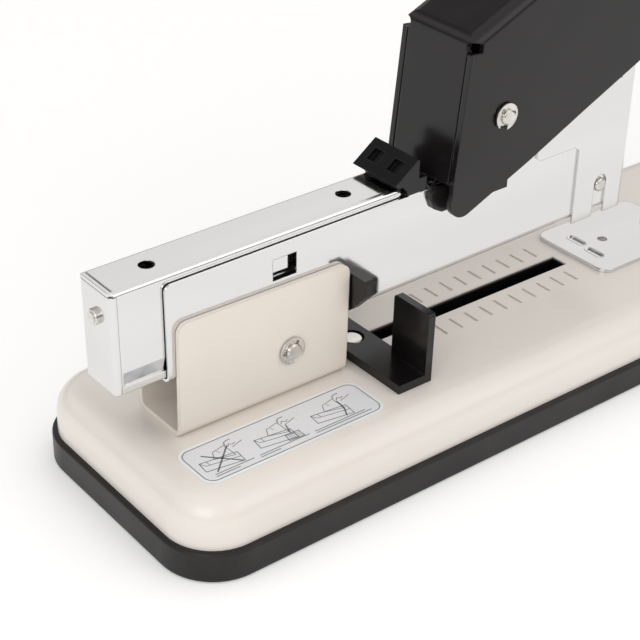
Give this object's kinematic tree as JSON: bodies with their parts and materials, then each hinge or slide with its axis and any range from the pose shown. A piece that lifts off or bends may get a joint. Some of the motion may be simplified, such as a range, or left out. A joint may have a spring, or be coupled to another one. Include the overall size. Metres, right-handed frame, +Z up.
{
  "type": "heavy-duty lever stapler",
  "caption": "Desktop lever stapler: soft cream base with black skirt, chrome magazine frame hinged in a cream bracket, sliding depth guide, anvil plate and black channel handle with grip.",
  "frame": {"origin": "centre of the flat underside of the base", "axes": "+X from the hinge bracket towards the anvil and the grip, +Y to the side away from the label, +Z up"},
  "size_m": [0.3049, 0.0854, 0.202],
  "materials": {
    "cream": "glossy cream lacquer",
    "cream_steel": "satin cream paint on folded steel",
    "skirt": "black satin rubber",
    "chrome": "bright nickel-chrome plate",
    "black_steel": "black satin enamel",
    "black_plastic": "black moulded plastic",
    "grip": "black moulded grip",
    "spring_steel": "bright spring wire",
    "zinc": "zinc plate",
    "hard_steel": "ground hardened steel",
    "label": "satin printed film"
  },
  "bodies": {
    "base": {"base_body": "cream", "base_skirt": "skirt", "tray_screws": "zinc", "instruction_label": "label", "pivot_bracket": "cream_steel", "bracket_screws": "zinc", "pivot_pin": "zinc", "pivot_clips": "zinc", "anvil_plate": "chrome", "anvil_screw": "zinc", "lift_spring": "spring_steel", "slot_track": "black_plastic"},
    "guide": {"depth_guide": "black_plastic", "guide_screw": "zinc", "guide_nut": "black_plastic"},
    "frame": {"magazine_frame": "chrome", "paper_stop_wings": "black_plastic", "handle_cheeks": "black_steel", "cheek_rivets": "zinc", "head_shell": "chrome", "head_studs": "zinc", "blade_guide_plate": "hard_steel", "handle_pin": "zinc", "handle_clips": "zinc", "pin_spacers": "zinc", "handle_spring": "spring_steel", "latch_pin": "zinc", "latch_spring": "spring_steel"},
    "latch": {"release_latch": "black_plastic"},
    "magazine": {"magazine_cover": "chrome", "magazine_rear_cap": "chrome", "staple_rail": "hard_steel", "follower_rod": "zinc", "rod_nut": "zinc", "follower_spring": "spring_steel"},
    "follower": {"staple_follower": "black_plastic"},
    "driver": {"driver_block": "hard_steel", "driver_blade": "hard_steel", "blade_rivet": "zinc"},
    "handle": {"handle_lever": "black_steel", "handle_grip": "grip", "driver_pin": "zinc"}
  },
  "joints": [
    {"name": "frame_pivot", "type": "hinge", "parent": "base", "child": "frame", "pos_m": [-0.0818, 0, 0.0397], "axis": [0, 1, 0], "range_deg": [0, 7.8], "stiffness_Nm_per_rad": 6, "springref_deg": -34.38, "deforming": ["lift_spring"]},
    {"name": "handle_pivot", "type": "hinge", "parent": "frame", "child": "handle", "pos_m": [-0.01033, 0, 0.0933], "axis": [0, 1, 0], "range_deg": [0, 24.5], "stiffness_Nm_per_rad": 1, "springref_deg": -57.3, "deforming": ["handle_spring"]},
    {"name": "driver_slide", "type": "slide", "parent": "frame", "child": "driver", "axis": [0.0194, 0, -0.9998], "range_m": [0, 0.0219]},
    {"name": "magazine_slide", "type": "slide", "parent": "frame", "child": "magazine", "axis": [-0.9998, 0, -0.0194], "range_m": [0, 0.095]},
    {"name": "follower_slide", "type": "slide", "parent": "magazine", "child": "follower", "axis": [-0.9998, 0, -0.0194], "range_m": [0, 0.13], "stiffness_N_per_m": 20, "springref_m": -0.1, "deforming": ["follower_spring"]},
    {"name": "latch_press", "type": "hinge", "parent": "frame", "child": "latch", "pos_m": [-0.03771, 0, 0.07706], "axis": [0, -1, 0], "range_deg": [0, 8], "stiffness_Nm_per_rad": 0.02, "springref_deg": -28.65, "deforming": ["latch_spring"]},
    {"name": "guide_slide", "type": "slide", "parent": "base", "child": "guide", "axis": [1, 0, 0], "range_m": [-0.003, 0.08]}
  ],
  "couplings": [
    {"joint": "driver_slide", "follows": "handle_pivot", "m_per_rad": 0.05107}
  ]
}
